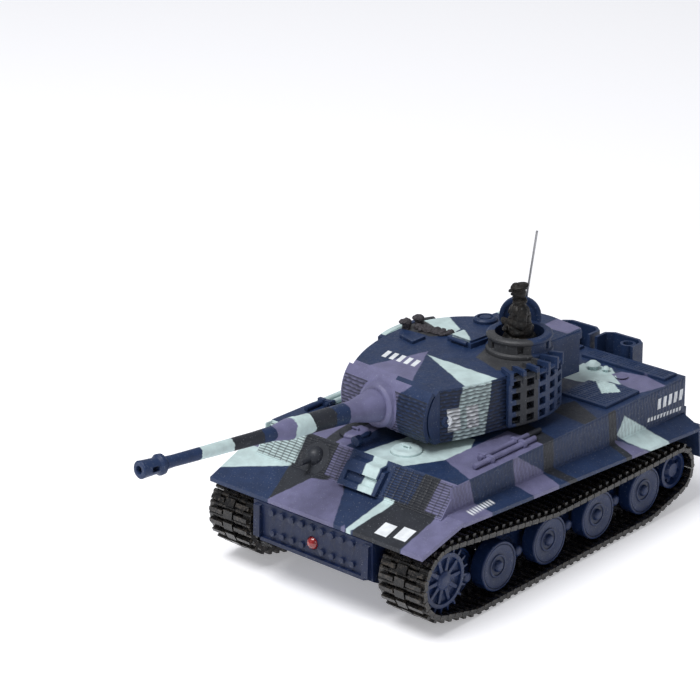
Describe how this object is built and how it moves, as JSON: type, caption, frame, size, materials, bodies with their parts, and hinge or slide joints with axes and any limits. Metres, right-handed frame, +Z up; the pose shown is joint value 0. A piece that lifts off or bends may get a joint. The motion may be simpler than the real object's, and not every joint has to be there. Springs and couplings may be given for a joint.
{
  "type": "remote controlled toy tank",
  "caption": "Small remote-controlled toy tank: hull on two link tracks with overlapping road wheels, a turning turret with a tilting gun, a commander figure and an aerial.",
  "frame": {"origin": "on the ground, under the middle of the whole tank's outline from the muzzle to the exhausts", "axes": "+Z up, +X to the tank's left, -Y forward; the tank is longest along Y"},
  "size_m": [0.0522, 0.1198, 0.0568],
  "materials": {
    "painted_plastic": "satin camouflage paint on moulded plastic",
    "navy_plastic": "bare navy moulded plastic, satin",
    "track_plastic": "black moulded plastic, slightly shiny",
    "figure_paint": "dark painted figure",
    "red_lens": "clear red plastic",
    "steel": "bright steel",
    "spring_wire": "thin bright wire",
    "gear_plastic": "white acetal",
    "dark_plastic": "black moulded plastic",
    "motor_metal": "plated motor can",
    "cell_wrap": "shrink sleeve",
    "board": "green circuit board"
  },
  "bodies": {
    "hull": {"upper_hull": "painted_plastic", "lower_hull": "navy_plastic", "nose_led": "red_lens", "front_plate_fittings": "painted_plastic", "deck_hatches": "painted_plastic", "engine_grilles": "painted_plastic", "deck_vent_caps": "painted_plastic", "deck_tools": "painted_plastic", "rear_mudflaps": "navy_plastic", "exhausts": "painted_plastic", "track_left": "track_plastic", "track_right": "track_plastic", "wheel_axles": "steel", "gearbox_frames": "dark_plastic", "drive_motors": "motor_metal", "turret_motor": "motor_metal", "battery_cells": "cell_wrap", "receiver_board": "board", "charge_socket": "dark_plastic", "switch_housing": "dark_plastic", "case_screws": "steel"},
    "turret": {"turret_shell": "painted_plastic", "turret_base": "navy_plastic", "cupola": "painted_plastic", "commander_figure": "figure_paint", "cupola_hatch_lid": "painted_plastic", "turret_bin": "painted_plastic", "spare_track_racks": "painted_plastic", "roof_fittings": "painted_plastic", "roof_stowage": "painted_plastic", "antenna": "spring_wire"},
    "gun": {"mantlet": "painted_plastic", "gun_barrel": "painted_plastic"},
    "turret_pinion": {"turret_pinion": "gear_plastic"},
    "switch_knob": {"switch_knob": "dark_plastic"},
    "sprocket_left": {"sprocket_left": "navy_plastic"},
    "wheel_left_1": {"wheel_left_1": "navy_plastic"},
    "wheel_left_2": {"wheel_left_2": "navy_plastic"},
    "wheel_left_3": {"wheel_left_3": "navy_plastic"},
    "wheel_left_4": {"wheel_left_4": "navy_plastic"},
    "wheel_left_5": {"wheel_left_5": "navy_plastic"},
    "wheel_left_6": {"wheel_left_6": "navy_plastic"},
    "wheel_left_7": {"wheel_left_7": "navy_plastic"},
    "wheel_left_8": {"wheel_left_8": "navy_plastic"},
    "idler_left": {"idler_left": "navy_plastic"},
    "reduction_gear_left": {"reduction_gear_left": "gear_plastic"},
    "motor_pinion_left": {"motor_pinion_left": "gear_plastic"},
    "sprocket_right": {"sprocket_right": "navy_plastic"},
    "wheel_right_1": {"wheel_right_1": "navy_plastic"},
    "wheel_right_2": {"wheel_right_2": "navy_plastic"},
    "wheel_right_3": {"wheel_right_3": "navy_plastic"},
    "wheel_right_4": {"wheel_right_4": "navy_plastic"},
    "wheel_right_5": {"wheel_right_5": "navy_plastic"},
    "wheel_right_6": {"wheel_right_6": "navy_plastic"},
    "wheel_right_7": {"wheel_right_7": "navy_plastic"},
    "wheel_right_8": {"wheel_right_8": "navy_plastic"},
    "idler_right": {"idler_right": "navy_plastic"},
    "reduction_gear_right": {"reduction_gear_right": "gear_plastic"},
    "motor_pinion_right": {"motor_pinion_right": "gear_plastic"}
  },
  "joints": [
    {"name": "turret_yaw", "type": "hinge", "parent": "hull", "child": "turret", "pos_m": [0, 0.01793, 0.02465], "axis": [0, 0, 1], "range_deg": [-156, 164]},
    {"name": "gun_elevation", "type": "hinge", "parent": "turret", "child": "gun", "pos_m": [-0.00108, 0.00247, 0.0307], "axis": [-0.9976, 0.0698, 0], "range_deg": [-7.5, 7.5]},
    {"name": "turret_pinion_spin", "type": "hinge", "parent": "hull", "child": "turret_pinion", "pos_m": [0, 0.03243, 0.02165], "axis": [0, 0, 1], "range_deg": [-800, 800]},
    {"name": "power_switch_slide", "type": "slide", "parent": "hull", "child": "switch_knob", "axis": [1, 0, 0], "range_m": [0, 0.002]},
    {"name": "sprocket_left_spin", "type": "hinge", "parent": "hull", "child": "sprocket_left", "pos_m": [0.02, -0.01757, 0.0095], "axis": [1, 0, 0], "continuous": true, "deforming": ["track_left"]},
    {"name": "wheel_left_1_spin", "type": "hinge", "parent": "hull", "child": "wheel_left_1", "pos_m": [0.02, -0.0095, 0.0065], "axis": [1, 0, 0], "continuous": true},
    {"name": "wheel_left_2_spin", "type": "hinge", "parent": "hull", "child": "wheel_left_2", "pos_m": [0.02, -0.00235, 0.0065], "axis": [1, 0, 0], "continuous": true},
    {"name": "wheel_left_3_spin", "type": "hinge", "parent": "hull", "child": "wheel_left_3", "pos_m": [0.02, 0.0048, 0.0065], "axis": [1, 0, 0], "continuous": true},
    {"name": "wheel_left_4_spin", "type": "hinge", "parent": "hull", "child": "wheel_left_4", "pos_m": [0.02, 0.01195, 0.0065], "axis": [1, 0, 0], "continuous": true},
    {"name": "wheel_left_5_spin", "type": "hinge", "parent": "hull", "child": "wheel_left_5", "pos_m": [0.02, 0.0191, 0.0065], "axis": [1, 0, 0], "continuous": true},
    {"name": "wheel_left_6_spin", "type": "hinge", "parent": "hull", "child": "wheel_left_6", "pos_m": [0.02, 0.02625, 0.0065], "axis": [1, 0, 0], "continuous": true},
    {"name": "wheel_left_7_spin", "type": "hinge", "parent": "hull", "child": "wheel_left_7", "pos_m": [0.02, 0.0334, 0.0065], "axis": [1, 0, 0], "continuous": true},
    {"name": "wheel_left_8_spin", "type": "hinge", "parent": "hull", "child": "wheel_left_8", "pos_m": [0.02, 0.04055, 0.0065], "axis": [1, 0, 0], "continuous": true},
    {"name": "idler_left_spin", "type": "hinge", "parent": "hull", "child": "idler_left", "pos_m": [0.02, 0.04943, 0.0078], "axis": [1, 0, 0], "continuous": true},
    {"name": "reduction_gear_left_spin", "type": "hinge", "parent": "hull", "child": "reduction_gear_left", "pos_m": [0.012, -0.01438, 0.01174], "axis": [1, 0, 0], "continuous": true},
    {"name": "motor_pinion_left_spin", "type": "hinge", "parent": "hull", "child": "motor_pinion_left", "pos_m": [0.011, -0.00933, 0.01245], "axis": [1, 0, 0], "continuous": true},
    {"name": "sprocket_right_spin", "type": "hinge", "parent": "hull", "child": "sprocket_right", "pos_m": [-0.02, -0.01757, 0.0095], "axis": [1, 0, 0], "continuous": true, "deforming": ["track_right"]},
    {"name": "wheel_right_1_spin", "type": "hinge", "parent": "hull", "child": "wheel_right_1", "pos_m": [-0.02, -0.0095, 0.0065], "axis": [1, 0, 0], "continuous": true},
    {"name": "wheel_right_2_spin", "type": "hinge", "parent": "hull", "child": "wheel_right_2", "pos_m": [-0.02, -0.00235, 0.0065], "axis": [1, 0, 0], "continuous": true},
    {"name": "wheel_right_3_spin", "type": "hinge", "parent": "hull", "child": "wheel_right_3", "pos_m": [-0.02, 0.0048, 0.0065], "axis": [1, 0, 0], "continuous": true},
    {"name": "wheel_right_4_spin", "type": "hinge", "parent": "hull", "child": "wheel_right_4", "pos_m": [-0.02, 0.01195, 0.0065], "axis": [1, 0, 0], "continuous": true},
    {"name": "wheel_right_5_spin", "type": "hinge", "parent": "hull", "child": "wheel_right_5", "pos_m": [-0.02, 0.0191, 0.0065], "axis": [1, 0, 0], "continuous": true},
    {"name": "wheel_right_6_spin", "type": "hinge", "parent": "hull", "child": "wheel_right_6", "pos_m": [-0.02, 0.02625, 0.0065], "axis": [1, 0, 0], "continuous": true},
    {"name": "wheel_right_7_spin", "type": "hinge", "parent": "hull", "child": "wheel_right_7", "pos_m": [-0.02, 0.0334, 0.0065], "axis": [1, 0, 0], "continuous": true},
    {"name": "wheel_right_8_spin", "type": "hinge", "parent": "hull", "child": "wheel_right_8", "pos_m": [-0.02, 0.04055, 0.0065], "axis": [1, 0, 0], "continuous": true},
    {"name": "idler_right_spin", "type": "hinge", "parent": "hull", "child": "idler_right", "pos_m": [-0.02, 0.04943, 0.0078], "axis": [1, 0, 0], "continuous": true},
    {"name": "reduction_gear_right_spin", "type": "hinge", "parent": "hull", "child": "reduction_gear_right", "pos_m": [-0.012, -0.01438, 0.01174], "axis": [1, 0, 0], "continuous": true},
    {"name": "motor_pinion_right_spin", "type": "hinge", "parent": "hull", "child": "motor_pinion_right", "pos_m": [-0.011, -0.00933, 0.01245], "axis": [1, 0, 0], "continuous": true}
  ],
  "couplings": [
    {"joint": "turret_pinion_spin", "follows": "turret_yaw", "ratio": -4.8},
    {"joint": "wheel_left_1_spin", "follows": "sprocket_left_spin", "ratio": 1.3572},
    {"joint": "wheel_left_2_spin", "follows": "sprocket_left_spin", "ratio": 1.3572},
    {"joint": "wheel_left_3_spin", "follows": "sprocket_left_spin", "ratio": 1.3572},
    {"joint": "wheel_left_4_spin", "follows": "sprocket_left_spin", "ratio": 1.3572},
    {"joint": "wheel_left_5_spin", "follows": "sprocket_left_spin", "ratio": 1.3572},
    {"joint": "wheel_left_6_spin", "follows": "sprocket_left_spin", "ratio": 1.3572},
    {"joint": "wheel_left_7_spin", "follows": "sprocket_left_spin", "ratio": 1.3572},
    {"joint": "wheel_left_8_spin", "follows": "sprocket_left_spin", "ratio": 1.3572},
    {"joint": "idler_left_spin", "follows": "sprocket_left_spin", "ratio": 1.7757},
    {"joint": "reduction_gear_left_spin", "follows": "sprocket_left_spin", "ratio": -2.25},
    {"joint": "motor_pinion_left_spin", "follows": "sprocket_left_spin", "ratio": 7.3125},
    {"joint": "wheel_right_1_spin", "follows": "sprocket_right_spin", "ratio": 1.3572},
    {"joint": "wheel_right_2_spin", "follows": "sprocket_right_spin", "ratio": 1.3572},
    {"joint": "wheel_right_3_spin", "follows": "sprocket_right_spin", "ratio": 1.3572},
    {"joint": "wheel_right_4_spin", "follows": "sprocket_right_spin", "ratio": 1.3572},
    {"joint": "wheel_right_5_spin", "follows": "sprocket_right_spin", "ratio": 1.3572},
    {"joint": "wheel_right_6_spin", "follows": "sprocket_right_spin", "ratio": 1.3572},
    {"joint": "wheel_right_7_spin", "follows": "sprocket_right_spin", "ratio": 1.3572},
    {"joint": "wheel_right_8_spin", "follows": "sprocket_right_spin", "ratio": 1.3572},
    {"joint": "idler_right_spin", "follows": "sprocket_right_spin", "ratio": 1.7757},
    {"joint": "reduction_gear_right_spin", "follows": "sprocket_right_spin", "ratio": -2.25},
    {"joint": "motor_pinion_right_spin", "follows": "sprocket_right_spin", "ratio": 7.3125}
  ]
}
